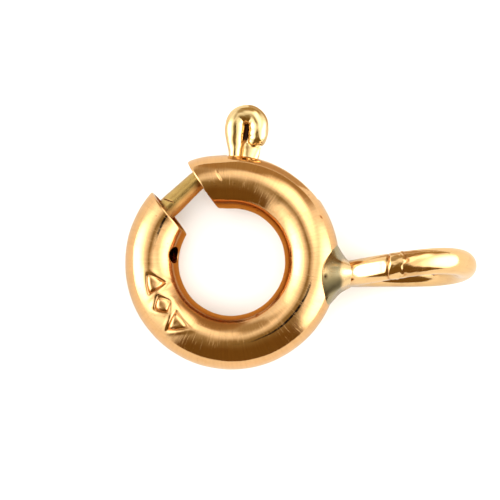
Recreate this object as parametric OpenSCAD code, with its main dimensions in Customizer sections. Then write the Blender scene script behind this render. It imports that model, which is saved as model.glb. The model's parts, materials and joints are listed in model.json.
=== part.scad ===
// Spring ring clasp: a hollow gold ring whose gap is closed by a sprung, sliding bolt.
// It is drawn flat, with the ring's axis along +Z and the end ring on the +X side, and
// then tilted as it lies on a table, propped up by its end ring. Sizes are millimetres.

/* [Ring tube] */
// Radius of the tube's centre line about the ring's centre
ring_r = 2.25; // [2.1:0.05:3]
// Outer diameter of the bent tube
tube_d = 1.5; // [1.4:0.05:1.7]
// Wall of the bent tube
tube_wall = 0.17; // [0.12:0.01:0.2]
// Diameter of the small vent hole in the tube's inner wall
vent_d = 0.45; // [0.3:0.05:0.5]
// Place of the vent hole round the ring, in degrees from the end ring
vent_angle = 176; // [170:1:190]
// How far the vent hole leans up from the ring's plane, in degrees
vent_lean = 24; // [0:1:40]

/* [Catch gap] */
// Width of the gap between the tube's two cut ends
gap_w = 1.2; // [0.9:0.05:1.3]
// Place of the gap's middle round the ring, in degrees from the end ring
gap_angle = 129; // [126:1:134]

/* [Bolt] */
// Diameter of the tongue's wire
tongue_d = 0.56; // [0.5:0.01:0.6]
// How far the closed tongue goes into the tube beyond the gap
tongue_reach = 0.45; // [0.3:0.05:0.5]
// Play between the bolt and the outer wall of the tube's bore
slide_gap = 0.05; // [0.04:0.01:0.08]
// How far the tongue's arc is shifted along the gap, towards the lever
tongue_lean = 0.15; // [0:0.01:0.16]
// Diameter of the tail that guides the spring
tail_d = 0.5; // [0.4:0.02:0.56]
// Length of the tail beyond the neck
tail_l = 0.9; // [0.5:0.1:1.5]

/* [Thumb lever] */
// Place of the closed lever round the ring, in degrees from the end ring
lever_angle = 86.5; // [84:0.5:88]
// Diameter of the wire that is folded into the lever's loop
lever_wire_d = 0.5; // [0.4:0.02:0.54]
// Width of the slit between the loop's two legs
lever_slit = 0.18; // [0.12:0.02:0.24]
// Height of the lever above the tube
lever_h = 1.42; // [1.3:0.02:1.7]
// Length of the straight legs below the loop's bend
lever_leg = 0.36; // [0.2:0.02:0.4]
// Width of the neck, along the slot
neck_w = 0.85; // [0.7:0.05:0.9]
// Thickness of the neck, across the slot
neck_t = 0.36; // [0.3:0.02:0.42]
// Clearance between the neck and each wall of its slot
slot_gap = 0.04; // [0.03:0.01:0.06]

/* [Spring] */
// Diameter of the spring's wire
spring_wire_d = 0.12; // [0.08:0.01:0.13]
// Distance between the spring's turns at rest
spring_pitch = 0.3; // [0.25:0.01:0.4]
// Clearance of the spring in the bore and at both of its ends
spring_gap = 0.03; // [0.02:0.01:0.05]
// Angle of the ring that the closed spring fills, in degrees
spring_arc = 170; // [150:5:175]
// Length of the stop that holds the spring's far end
stop_l = 0.35; // [0.25:0.05:0.6]
// Clearance between the stop and the bore
stop_gap = 0.02; // [0.01:0.01:0.03]

/* [End ring] */
// Outer diameter of the end ring
end_ring_d = 3.84; // [3.4:0.02:4.5]
// Diameter of the end ring's wire
end_wire_d = 0.72; // [0.5:0.02:0.8]
// How deep the end ring is seated into the tube's wall
end_ring_sink = 0.05; // [0.02:0.01:0.1]
// Turn of the end ring's plane away from the radial line, in degrees
end_ring_turn = 7; // [0:1:8]
// How far the solder climbs along the end ring from the tube
solder_l = 0.5; // [0.4:0.05:0.6]
// Radius of the solder's foot on the tube
solder_r = 0.58; // [0.5:0.02:0.64]

/* [Hidden] */
$fn = 64;

tube_r = tube_d / 2;
bore_r = tube_r - tube_wall;
outer_r = ring_r + tube_r;
tongue_r = tongue_d / 2;

// The tongue's arc has its centre shifted along the gap's chord. Its radius leaves the
// play between the wire and the bore's outer wall at the lever, where it comes closest.
lean_dir = gap_angle - 90;
arc_r = ring_r + bore_r - slide_gap - tongue_r - tongue_lean * cos(lever_angle - lean_dir);

// Angles round the ring's centre, counter-clockwise from the end ring
gap_half = asin(gap_w / 2 / arc_r);
tip_angle = gap_angle + gap_half + deg_of(tongue_reach, arc_r);
travel = tip_angle - (gap_angle - gap_half);
neck_half = asin(neck_w / 2 / (ring_r + bore_r));
shoulder_angle = lever_angle - neck_half;
spring_start = shoulder_angle - deg_of(spring_gap + spring_wire_d, ring_r);
spring_end = spring_start - spring_arc;
stop_angle = spring_end - deg_of(spring_gap + spring_wire_d / 2, ring_r);

// The lever's loop
loop_r = (lever_wire_d + lever_slit) / 2;
lever_top = outer_r + lever_h;
loop_dist = lever_top - loop_r - lever_wire_d / 2;

// The spring's helix round the tube's centre line
coil_r = bore_r - spring_gap - spring_wire_d / 2;
turns = spring_arc * PI / 180 * ring_r / spring_pitch;
TURN_STEPS = 12;
WIRE_SIDES = 6;

// The end ring stands across the ring's plane with its centre on the +X line. Its wire
// is seated in the tube a little to one side of that line, because the end ring is turned.
end_major_r = (end_ring_d - end_wire_d) / 2;
seat_r = outer_r + end_wire_d / 2 - end_ring_sink;
seat_angle = -asin(end_major_r * sin(end_ring_turn) / seat_r);
end_dist = seat_r * cos(seat_angle) + end_major_r * cos(end_ring_turn);

// The solder's flare ends just under the wire and just under the tube's surface.
SOLDER_UNDER = 0.03;
solder_neck_r = end_wire_d / 2 - SOLDER_UNDER;
solder_foot = tube_r - sqrt(tube_r * tube_r - solder_r * solder_r) + SOLDER_UNDER;
solder_rise = solder_r - solder_neck_r;
solder_arc_r = (pow(solder_l + solder_foot, 2) + solder_rise * solder_rise) / (2 * solder_rise);

// At rest the far side of the ring and the bottom of the end ring touch the table.
tilt = asin((end_ring_d / 2 - tube_r) / (ring_r + end_dist));
low_z = -ring_r * sin(tilt) - tube_r;
mid_x = (end_dist * cos(tilt) + end_ring_d / 2 - ring_r * cos(tilt) - tube_r) / 2;
mid_y = (lever_top * sin(lever_angle) - outer_r) / 2;

// Angle that a length spans on an arc of radius r
function deg_of(length, r) = length / r * 180 / PI;

// Angle round the shifted centre of the tongue's arc for an angle a round the ring
function arc_angle(a) = a + asin(tongue_lean * sin(a - lean_dir) / arc_r);

// Place of the flat clasp as it lies at rest, with the origin under the middle of its box
module at_rest() {
    translate([-mid_x, -mid_y, -low_z]) rotate([0, -tilt, 0]) children();
}

// A round bar bent to radius r, from angle a to angle b
module bent_bar(r, d, a, b) {
    rotate([0, 0, a]) rotate_extrude(angle = b - a) translate([r, 0]) circle(d = d);
}

// A closed ring of round section
module round_ring(r, d) {
    rotate_extrude() translate([r, 0]) circle(d = d);
}

// Turns +X to the angle a round the ring
module facing(a) {
    rotate([0, 0, a]) children();
}

// The straight cut that opens the tube
module gap_cut() {
    facing(gap_angle) translate([ring_r - tube_d, -gap_w / 2, -tube_d])
        cube([2 * tube_d, gap_w, 2 * tube_d]);
}

// Space swept by the neck as the lever slides, with its clearance
module slot_cut() {
    slot_h = neck_t + 2 * slot_gap;
    intersection() {
        union() {
            for (a = [lever_angle, lever_angle - travel])
                facing(a) translate([ring_r, 0, 0]) rotate([0, 90, 0])
                    cylinder(d = neck_w + 2 * slot_gap, h = tube_d);
            facing(lever_angle - travel) rotate_extrude(angle = travel)
                translate([ring_r, -slot_h]) square([tube_d, 2 * slot_h]);
        }
        translate([-2 * outer_r, -2 * outer_r, -slot_h / 2])
            cube([4 * outer_r, 4 * outer_r, slot_h]);
    }
}

// The small hole in the inner wall, past the end that receives the tongue
module vent_cut() {
    facing(vent_angle) translate([ring_r, 0, 0]) rotate([0, -90 + vent_lean, 0])
        cylinder(d = vent_d, h = tube_d);
}

// Solder that has flowed between the tube and the end ring, a concave flare
module solder() {
    rotate([0, 90, 0]) rotate_extrude() difference() {
        translate([0, -solder_foot]) square([solder_r, solder_foot + solder_l]);
        translate([solder_neck_r + solder_arc_r, solder_l]) circle(r = solder_arc_r);
    }
}

// The end ring, placed by its centre, and its solder, square to the tube at the seat
module end_ring() {
    translate([end_dist, 0, 0]) rotate([90, 0, end_ring_turn])
        round_ring(end_major_r, end_wire_d);
    facing(seat_angle) translate([outer_r, 0, 0]) solder();
}

module ring_body() {
    color([0.86, 0.62, 0.38]) at_rest() difference() {
        union() {
            round_ring(ring_r, tube_d);
            end_ring();
        }
        round_ring(ring_r, 2 * bore_r);
        gap_cut();
        slot_cut();
        vent_cut();
    }
}

// The neck that passes through the slot, pinched flat from the folded wire
module neck() {
    top = loop_dist - lever_leg;
    facing(lever_angle) intersection() {
        translate([arc_r, 0, 0]) rotate([0, 90, 0]) cylinder(d = neck_w, h = top - arc_r);
        translate([0, -neck_w, -neck_t / 2]) cube([lever_top, 2 * neck_w, neck_t]);
    }
}

// The wire folded back on itself above the neck
module lever_loop() {
    facing(lever_angle) translate([loop_dist, 0, 0]) {
        rotate([0, 0, -90]) rotate_extrude(angle = 180) translate([loop_r, 0])
            circle(d = lever_wire_d);
        for (side = [-1, 1])
            translate([-lever_leg, side * loop_r, 0]) {
                rotate([0, 90, 0]) cylinder(d = lever_wire_d, h = lever_leg);
                sphere(d = lever_wire_d);
            }
    }
}

// Tongue, thumb lever and tail, one wire that slides in the tube
module bolt() {
    tail_end = shoulder_angle - deg_of(tail_l, ring_r);
    color([0.80, 0.70, 0.38]) at_rest() {
        translate([tongue_lean * cos(lean_dir), tongue_lean * sin(lean_dir), 0])
            bent_bar(arc_r, tongue_d, arc_angle(shoulder_angle), arc_angle(tip_angle));
        bent_bar(ring_r, tail_d, tail_end, lever_angle);
        neck();
        lever_loop();
    }
}

// A point of the spring's wire: step s along the helix, side k of the wire
function coil_point(s, k) =
    let (
        around = s * 360 / TURN_STEPS,
        side = k * 360 / WIRE_SIDES,
        reach = coil_r + spring_wire_d / 2 * cos(side),
        r = ring_r + reach * cos(around),
        along = deg_of(spring_wire_d / 2 * sin(side), ring_r),
        a = spring_start - spring_arc * s / (turns * TURN_STEPS) + along
    )
    [r * cos(a), r * sin(a), reach * sin(around)];

module spring() {
    last = floor(turns * TURN_STEPS);
    points = [for (s = [0:last]) for (k = [0:WIRE_SIDES - 1]) coil_point(s, k)];
    sides = [
        for (s = [0:last - 1])
            for (k = [0:WIRE_SIDES - 1])
                let (n = (k + 1) % WIRE_SIDES, row = s * WIRE_SIDES)
                    [row + k, row + n, row + WIRE_SIDES + n, row + WIRE_SIDES + k]
    ];
    first_end = [for (k = [WIRE_SIDES - 1:-1:0]) k];
    last_end = [for (k = [0:WIRE_SIDES - 1]) last * WIRE_SIDES + k];
    color([0.72, 0.70, 0.66]) at_rest()
        polyhedron(points = points, faces = concat(sides, [first_end, last_end]));
}

// A short plug of wire in the bore, fixed there for the spring to push against
module spring_stop() {
    stop_end = stop_angle - deg_of(stop_l, ring_r);
    color([0.80, 0.66, 0.40]) at_rest()
        bent_bar(ring_r, 2 * (bore_r - stop_gap), stop_end, stop_angle);
}

ring_body();
bolt();
spring();
spring_stop();
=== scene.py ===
"""A spring ring clasp: a hollow bent tube, a sliding bolt with a folded thumb lever, and an end ring.

The clasp is worked out flat, in millimetres, the way it is made: x runs from the ring's centre
to the end ring, y towards the thumb lever, and z along the ring's own axis. placed() then lays
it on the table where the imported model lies. Angles are degrees. Angles round the ring start at
x, and angles round the tube start at its outer side and rise towards z.
"""

import json
import math

import bmesh
import bpy
import numpy as np
from mathutils import Matrix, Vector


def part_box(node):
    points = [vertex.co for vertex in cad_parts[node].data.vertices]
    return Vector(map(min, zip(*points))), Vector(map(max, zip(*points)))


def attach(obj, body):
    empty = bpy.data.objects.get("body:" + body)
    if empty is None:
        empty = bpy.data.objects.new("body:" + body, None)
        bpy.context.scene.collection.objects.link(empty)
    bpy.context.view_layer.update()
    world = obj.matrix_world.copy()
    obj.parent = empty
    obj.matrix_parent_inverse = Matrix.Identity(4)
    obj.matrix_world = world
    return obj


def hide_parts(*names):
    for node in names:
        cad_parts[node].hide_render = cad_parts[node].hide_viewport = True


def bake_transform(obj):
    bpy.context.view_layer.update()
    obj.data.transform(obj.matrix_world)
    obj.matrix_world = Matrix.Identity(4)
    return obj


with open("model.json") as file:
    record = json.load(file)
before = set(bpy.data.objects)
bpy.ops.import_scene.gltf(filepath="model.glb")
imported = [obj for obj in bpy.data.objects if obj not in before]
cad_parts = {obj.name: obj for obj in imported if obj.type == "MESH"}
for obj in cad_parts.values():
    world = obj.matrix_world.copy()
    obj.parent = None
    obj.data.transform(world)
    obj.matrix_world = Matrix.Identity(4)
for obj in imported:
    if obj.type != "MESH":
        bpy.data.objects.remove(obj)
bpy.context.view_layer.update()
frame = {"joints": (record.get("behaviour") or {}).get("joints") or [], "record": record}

# The clasp's frame, from the bolt's joint and the end ring's mount
MM = 0.001
travel_joint = frame["joints"][0]
mount_places = {m["name"]: np.array(m["pos_m"]) for m in frame["record"]["mounts"]}
RING_CENTRE = np.array(travel_joint["pos_m"])
RING_AXIS = -np.array(travel_joint["axis"])
FLAT_AXES = np.array([[RING_AXIS[2], 0, -RING_AXIS[0]], [0, 1, 0], RING_AXIS])

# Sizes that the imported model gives, in millimetres and degrees
outer_r = (RING_CENTRE[1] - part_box("ring_body")[0].y) / MM
tilt_share = -RING_AXIS[0]
tube_r = (RING_CENTRE[2] / MM - outer_r * tilt_share) / (1 - tilt_share)
ring_r = outer_r - tube_r
end_dist = float(np.linalg.norm(mount_places["end_ring_eye"] - RING_CENTRE)) / MM
travel = travel_joint["range_deg"][1]

# The other sizes of the construction, in millimetres and degrees, and counts of turns and steps
TUBE_WALL = 0.17
GAP_ANGLE = 129.0
GAP_W = 1.2
GAP_FLARE = 0.047
LEVER_ANGLE = 86.5
SLOT_H = 0.44
SLOT_ROUND_R = 0.465
VENT_ANGLE = 176.0
VENT_LEAN = 24.0
VENT_R = 0.225
TONGUE_LINE_R = 2.34
TONGUE_LINE_ANGLE = 135.9
TONGUE_MOST_R = 2.50
TONGUE_TIP = 154.2
TONGUE_DOME = 4.0
TONGUE_NICK = 139.8
SHOULDER = 77.86
TAIL_D = 0.5
TAIL_END = 54.9
TAIL_DOME = 4.0
SPRING_WIRE_R = 0.06
COIL_R = 0.49
SPRING_START = 74.04
SPRING_ARC = 170.0
SPRING_TURNS = 22.25
SPRING_STEPS = 24
SPRING_SIDES = 10
STOP_START = -98.3
STOP_END = -107.2
STOP_R = 0.56
STOP_DOME = 1.2
END_D = 3.84
END_WIRE_R = 0.36
END_TURN = 7.0
END_STRETCH = 1.016
SEAT_ANGLE = -3.3

bore_r = tube_r - TUBE_WALL
end_major_r = END_D / 2 - END_WIRE_R


def sin(a):
    """Sine of an angle in degrees."""
    return np.sin(np.radians(a))


def cos(a):
    """Cosine of an angle in degrees."""
    return np.cos(np.radians(a))


def arcsin(x):
    """Angle in degrees whose sine is x."""
    return np.degrees(np.arcsin(x))


def smooth(x, low, high):
    """0 below low, 1 above high, and 3t^2 - 2t^3 between them."""
    t = np.clip((x - low) / (high - low), 0, 1)
    return t * t * (3 - 2 * t)


def between(x, start, full, fading, end):
    """0 outside start to end and 1 from full to fading, with smooth flanks."""
    return smooth(x, start, full) * (1 - smooth(x, fading, end))


def bell(x, width):
    """A bump of height 1 whose sides fall off over width."""
    return np.exp(-((x / width) ** 2))


def apart(a, b):
    """Difference of two angles, from -180 to 180."""
    return (a - b + 180) % 360 - 180


def stacked(x, y, z):
    """Grids of x, y and z as one grid of points."""
    return np.stack(np.broadcast_arrays(x, y, z), -1)


def unit(vectors):
    """Vectors brought to length 1."""
    return vectors / np.linalg.norm(vectors, axis=-1, keepdims=True)


def cubic(t, a, b, from_a, to_b):
    """Shares t of the way from a to b on the cubic with those slopes at its two ends."""
    return (
        (2 * t**3 - 3 * t**2 + 1) * a + (t**3 - 2 * t**2 + t) * from_a
        + (3 * t**2 - 2 * t**3) * b + (t**3 - t**2) * to_b)


def ring_path(r, a):
    """Flat points at distance r and angle a from the ring's centre."""
    return np.stack([r * cos(a), r * sin(a)], -1)


def placed(flat):
    """Flat millimetres to metres on the table: the three flat axes, from the ring's centre."""
    return RING_CENTRE + MM * flat @ FLAT_AXES


def added(name, data):
    """A new object in the scene."""
    made = bpy.data.objects.new(name, data)
    bpy.context.scene.collection.objects.link(made)
    return made


# Meshes

# Points of a piece that are closer than this, in metres, are one point
WELD_DISTANCE = 2e-8

# Rows of the dome at each end of a wire
DOME_ROWS = 7


def build(name, patches, material, body, nodes=()):
    """One piece from patches, which are grids of flat points with a grid of (along, around,
    tarnish) each, and where given a mask of the cells that are kept. Equal points are welded, so
    a grid closes where its first and last rows or columns meet."""
    points, cells, wraps, count = [], [], [], 0
    for patch in patches:
        grid, wrap = patch[0], patch[1]
        rows, cols = grid.shape[:2]
        i, j = np.meshgrid(np.arange(rows - 1), np.arange(cols - 1), indexing="ij")
        corners = np.stack([i * cols + j, (i + 1) * cols + j, (i + 1) * cols + j + 1, i * cols + j + 1], -1)
        corners = corners[patch[2]] if len(patch) > 2 else corners.reshape(-1, 4)
        points.append(placed(grid).reshape(-1, 3))
        cells.append(corners + count)
        wraps.append(wrap.reshape(-1, 3)[corners].reshape(-1, 3))
        count += rows * cols
    points, cells, wraps = map(np.concatenate, (points, cells, wraps))
    mesh = bpy.data.meshes.new(name)
    mesh.vertices.add(len(points))
    mesh.vertices.foreach_set("co", points.ravel())
    mesh.loops.add(cells.size)
    mesh.loops.foreach_set("vertex_index", cells.ravel().astype(np.int32))
    mesh.polygons.add(len(cells))
    mesh.polygons.foreach_set("loop_start", np.arange(0, cells.size, 4, dtype=np.int32))
    mesh.uv_layers.new(name="wrap").data.foreach_set("uv", wraps[:, :2].ravel())
    mesh.uv_layers.new(name="tarnish").data.foreach_set("uv", wraps[:, [2, 2]].ravel())
    mesh.update(calc_edges=True)
    welded = bmesh.new()
    welded.from_mesh(mesh)
    bmesh.ops.remove_doubles(welded, verts=welded.verts, dist=WELD_DISTANCE)
    loose = [v for v in welded.verts if not v.link_faces]
    bmesh.ops.delete(welded, geom=loose, context="VERTS")
    welded.to_mesh(mesh)
    welded.free()
    mesh.polygons.foreach_set("use_smooth", np.ones(len(mesh.polygons), dtype=bool))
    mesh.materials.append(material)
    piece = added(name, mesh)
    if nodes:
        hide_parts(*nodes)
    if body:
        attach(piece, body)
    return piece


def swept(path, half_w, half_t, cap=1.0, sides=48, relief=None):
    """A wire of oval section along a path in the ring's plane: centre + half_w cos(s) times the
    path's right-hand side, + half_t sin(s) times z. Each end is closed by a dome whose length is
    cap times half the wire's width. relief gives (height, tarnish) for (row share, s)."""
    path = np.asarray(path, float)
    ahead = unit(np.gradient(path, axis=0))
    half_w = np.broadcast_to(half_w, len(path))
    half_t = np.broadcast_to(half_t, len(path))
    dome = np.linspace(0, 90, DOME_ROWS + 1)[:-1]
    reach = cap * cos(dome)[:, None]
    path = np.concatenate([
        path[0] - ahead[0] * reach * half_w[0], path, path[-1] + ahead[-1] * reach[::-1] * half_w[-1]])
    share = np.concatenate([sin(dome), np.ones(len(ahead)), sin(dome)[::-1]])
    half_w = np.pad(half_w, len(dome), "edge") * share
    half_t = np.pad(half_t, len(dome), "edge") * share
    ahead = np.pad(ahead, ((len(dome), len(dome)), (0, 0)), "edge")
    around = np.linspace(0, 360, sides + 1)[None]
    row = np.clip((np.arange(len(path)) - len(dome)) / (len(path) - 2 * len(dome) - 1), 0, 1)
    height, tarnish = relief(row[:, None], around) if relief else (0.0, 0.0)
    side = half_w[:, None] * cos(around) * (1 + height / half_w.max())
    grid = stacked(
        path[:, :1] + side * ahead[:, 1:], path[:, 1:] - side * ahead[:, :1],
        half_t[:, None] * sin(around) * (1 + height / half_w.max()))
    step = np.linalg.norm(np.diff(path, axis=0), axis=1)
    along = np.concatenate([[0], np.cumsum(step)])[:, None]
    return grid, stacked(along, np.radians(around) * half_w.max(), tarnish)


# The bent tube

# Struck marks on the tube's face: angle round the ring, angle round the tube, turn, size, sides
STRUCK_MARKS = [
    (199.5, 96.0, 20.0, 1.00, 3),
    (216.5, 93.5, 40.0, 1.06, 4),
    (233.0, 90.0, 75.0, 1.00, 3),
]

# A mark's inner radius, how sharp its corners are, and how many of its sides count on its outline
MARK_INNER_R = 0.155
MARK_SHARPNESS = 24.0
MARK_SIDES_COUNTED = 1.5

# A mark's stroke: half width, depth, the lip's height and place, how uneven and how dark it is
MARK_STROKE = 0.055
MARK_DEPTH = 0.025
MARK_LIP = 0.006
MARK_LIP_AWAY = 1.7
MARK_UNEVEN = 0.5
MARK_TARNISH = 0.75

# Scratches: the two ends as angles round the ring and round the tube, half width, depth
SCRATCHES = [
    (101.2, 69.5, 97.8, 93.0, 0.016, 0.014),
    (318.0, 60.0, 312.0, 78.0, 0.012, 0.003),
    (12.0, 102.0, 20.0, 110.0, 0.012, 0.003),
    (262.0, 66.0, 270.0, 72.0, 0.012, 0.003),
    (55.0, 80.0, 58.5, 97.0, 0.012, 0.003),
    (170.0, 60.0, 182.0, 66.0, 0.012, 0.003),
]

# Small pits: angle round the ring, angle round the tube, radius, depth
PITS = [
    (81.4, 174.0, 0.035, 0.03),
    (300.0, 138.0, 0.03, 0.025),
    (351.0, 152.0, 0.02, 0.015),
    (64.0, 150.0, 0.02, 0.012),
    (255.0, 35.0, 0.022, 0.015),
    (28.0, 40.0, 0.02, 0.012),
    (292.0, 215.0, 0.03, 0.02),
]

PIT_TARNISH = 1.6

# Slight waves that bending and polishing leave: height, waves to a turn round the ring and
# round the tube, shift
TUBE_WAVES = [
    (0.0011, 9, 2, 20),
    (0.0011, 9, -2, 60),
    (0.0010, 17, -3, 100),
    (0.0004, 31, 2, 0),
    (0.0005, 12, 7, 210),
]

# Rounded rims, and the stretch before the bolt's end of the gap that runs straighter
RIM_R = 0.045
HOLE_RIM_R = 0.03
END_STRAIGHTEN = 0.08
STRAIGHTEN_FROM = 455.0
STRAIGHTEN_TO = 475.0

# Painted shade and reflection on the inner side, orange-brown like the shaded floor mirrored there,
# from and to these shares of the way towards the ring's centre, and earlier by so much near the low angle;
# and painted shade in the bore
INNER_PAINTED_SHADE = 0.5
INNER_FROM = 0.55
INNER_TO = 0.85
LOW_ANGLE = 255.0
LOW_WIDTH = 45.0
LOW_FROM_EARLIER = 0.32
LOW_TO_EARLIER = 0.22
BORE_PAINTED_SHADE = 1.2
BORE_DEPTH_SHARE = 0.7

# Grid lines, in degrees: coarse and fine steps, and where the struck marks and the deep
# scratch need the finer ones
TUBE_STEP = 1.5
END_STEP = 0.8
END_SPAN = 5.0
MARKS_SPAN = (190, 241, 0.45)
SCRATCH_SPAN = (454, 465, 0.5)
TUBE_PSIS = ((-100, 75, 3.5), (75, 126, 1.4), (126, 260, 3.5))
RIM_ROWS = 5

# The window about each hole reaches this far beyond its middle or its travel, along and around
SLOT_WINDOW = (12, 31)
VENT_WINDOW = (13, 30)
HOLE_OUTER_ROWS = 8
HOLE_RIM_ROWS = 5
HOLE_INNER_ROWS = 5


def surface_mm(a, psi, place_a, place_psi):
    """Distances on the tube's surface from a place to each point: along it and around it."""
    along = np.radians(apart(a, place_a)) * (ring_r + tube_r * cos(psi))
    return along, np.radians(apart(psi, place_psi)) * tube_r


def struck(a, psi):
    """Height and tarnish of the struck marks: a groove along the outline of a plain triangle or
    square, deeper to one side, with a raised lip. The outline is where the smooth largest of the
    distances towards its sides reaches the inner radius."""
    height, tarnish = 0.0, 0.0
    for place_a, place_psi, turn, size, sides in STRUCK_MARKS:
        x, y = surface_mm(a, psi, place_a, place_psi)
        facing = [turn + 360 * k / sides for k in range(sides)]
        towards = [np.clip(x * cos(way) + y * sin(way), -1, 1) for way in facing]
        reach = np.log(sum(np.exp(MARK_SHARPNESS * d) for d in towards)) / MARK_SHARPNESS
        off = np.abs(reach - MARK_INNER_R * size - np.log(MARK_SIDES_COUNTED) / MARK_SHARPNESS)
        force = 1 + MARK_UNEVEN * sin(np.degrees(np.arctan2(y, x)) + 4 * place_a)
        groove = 1 - smooth(off, 0, MARK_STROKE)
        lip = bell(off - MARK_LIP_AWAY * MARK_STROKE, MARK_STROKE)
        height = height - MARK_DEPTH * force * groove + MARK_LIP * lip
        tarnish = tarnish + MARK_TARNISH * force * smooth(groove, 0.2, 0.9)
    return height, tarnish


def scratched(a, psi):
    """Height of the scratches: a rounded groove about each line, that runs out at its ends."""
    height = 0.0
    for a0, psi0, a1, psi1, half_w, deep in SCRATCHES:
        x, y = surface_mm(a, psi, a0, psi0)
        x1, y1 = (float(v) for v in surface_mm(a1, psi1, a0, psi0))
        length = math.hypot(x1, y1)
        share = np.clip((x * x1 + y * y1) / length**2, 0, 1)
        off = np.hypot(x - share * x1, y - share * y1)
        height = height - deep * np.sin(np.pi * share) ** 0.5 * bell(off, half_w)
    return height


def pitted(a, psi):
    """Height and tarnish of the small pits, a bell each."""
    bells = [(bell(np.hypot(*surface_mm(a, psi, pa, pp)), r), deep) for pa, pp, r, deep in PITS]
    return sum(-deep * b for b, deep in bells), sum(PIT_TARNISH * b for b, deep in bells)


def wavy(a, psi):
    """Height of the slight waves: a few low sines that run slantwise round the tube."""
    return sum(high * sin(along * a + around * psi + shift) for high, along, around, shift in TUBE_WAVES)


def cut_angle(rho, side):
    """Angle at which the gap's cut meets radius rho: its half width grows a little outwards."""
    half = GAP_W / 2 + GAP_FLARE * (rho - ring_r)
    return GAP_ANGLE + side * arcsin(half / rho)


tube_start = float(cut_angle(ring_r, 1))
tube_stop = float(cut_angle(ring_r, -1)) + 360
CUT_REACH = 12.0


def on_tube(a, psi, r):
    """Point of the tube at angle a round the ring, psi round the tube and r from its centre
    line. Near the two ends a is drawn to the plane of the cut, and the last stretch before the
    bolt's end of the gap runs a little straighter. The relief counts on the outer wall only."""
    rho = ring_r + r * cos(psi)
    near_start = 1 - smooth(a, tube_start, tube_start + CUT_REACH)
    near_stop = smooth(a, tube_stop - CUT_REACH, tube_stop)
    a = a + near_start * (cut_angle(rho, 1) - tube_start)
    a = a + near_stop * (cut_angle(rho, -1) + 360 - tube_stop)
    wall_share = np.clip((r - bore_r) / TUBE_WALL, 0, 1)
    marks, mark_tarnish = struck(a, psi)
    pits, pit_tarnish = pitted(a, psi)
    r = r + wall_share * (marks + scratched(a, psi) + pits + wavy(a, psi))
    # Painted shade and reflection: the inner side, towards the ring's centre, turns orange-brown through
    # the tarnish map
    low = bell(apart(a, LOW_ANGLE), LOW_WIDTH)
    inner = INNER_PAINTED_SHADE * smooth(
        -cos(psi), INNER_FROM - LOW_FROM_EARLIER * low, INNER_TO - LOW_TO_EARLIER * low)
    rho = ring_r + END_STRAIGHTEN * smooth(a, STRAIGHTEN_FROM, STRAIGHTEN_TO) + r * cos(psi)
    tarnish = wall_share * (mark_tarnish + pit_tarnish + inner)
    # Painted shade: the bore darkens to nearly black
    tarnish = tarnish + BORE_PAINTED_SHADE * (1 - smooth(wall_share, 0.0, BORE_DEPTH_SHARE))
    wrap = stacked(np.radians(a) * ring_r, np.radians(psi) * tube_r, np.clip(tarnish, 0, 2))
    return stacked(rho * cos(a), rho * sin(a), r * sin(psi)), wrap


def slot_outline(u, v, r, wider):
    """The lever's slot: flat sides, and ends that are arcs about the neck's two places. u and v
    run over the border of a square, and the outline is wider by that much all round."""
    z = v * (SLOT_H / 2 + wider)
    psi = arcsin(z / r)
    reach = np.sqrt((SLOT_ROUND_R + wider) ** 2 - z**2)
    a = 360 + LEVER_ANGLE - travel / 2 + u * (travel / 2 + arcsin(reach / (ring_r + r * cos(psi))))
    return a, psi


def vent_outline(u, v, r, wider):
    """The vent hole: a circle drilled square to the tube, on its inner side."""
    turn = np.degrees(np.arctan2(v, u))
    psi = 180 - VENT_LEAN + arcsin((VENT_R + wider) * sin(turn) / r)
    a = VENT_ANGLE + arcsin((VENT_R + wider) * cos(turn) / (ring_r + r * cos(psi)))
    return a, psi


def hole_patch(angles, psis, window, outline):
    """The wall round a hole, as one ring-shaped grid: from the window's border on the outer wall
    to the hole, over its rounded rims and back to the same border on the inner wall."""
    i0, i1, j0, j1 = window
    a = np.concatenate([
        angles[i0:i1], np.full(j1 - j0, angles[i1]), angles[i1:i0:-1], np.full(j1 - j0 + 1, angles[i0])])
    psi = np.concatenate([
        np.full(i1 - i0, psis[j0]), psis[j0:j1], np.full(i1 - i0, psis[j1]), psis[j1:j0:-1],
        psis[j0:j0 + 1]])
    u = 2 * (a - angles[i0]) / (angles[i1] - angles[i0]) - 1
    v = 2 * (psi - psis[j0]) / (psis[j1] - psis[j0]) - 1

    def wall_rows(r, count):
        """Rows on one wall, from the window's border towards the hole."""
        hole_a, hole_psi = outline(u, v, r, HOLE_RIM_R)
        shares = np.linspace(0, 1, count + 1)[:-1]
        return [(a + share * (hole_a - a), psi + share * (hole_psi - psi), r) for share in shares]

    def rim_rows(r, inwards):
        """Rows over the rim of one wall, from its surface into the hole."""
        for bend in np.linspace(0, 90, HOLE_RIM_ROWS):
            at = r + inwards * HOLE_RIM_R * (1 - cos(bend))
            yield (*outline(u, v, at, HOLE_RIM_R * (1 - sin(bend))), at)

    rows = wall_rows(tube_r, HOLE_OUTER_ROWS) + list(rim_rows(tube_r, -1))
    rows += list(rim_rows(bore_r, 1))[::-1] + wall_rows(bore_r, HOLE_INNER_ROWS)[::-1]
    row_a, row_psi, row_r = (
        np.array(np.broadcast_arrays(*[row[k] + 0 * a for row in rows])) for k in range(3))
    return on_tube(row_a[:, ::-1], row_psi[:, ::-1], row_r[:, ::-1])


def spans(*stretches):
    """Values from stretch to stretch (start, stop, about this step), each stop given once."""
    parts = [np.linspace(lo, hi, max(2, round((hi - lo) / step) + 1))[:-1] for lo, hi, step in stretches]
    return np.append(np.concatenate(parts), stretches[-1][1])


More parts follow.
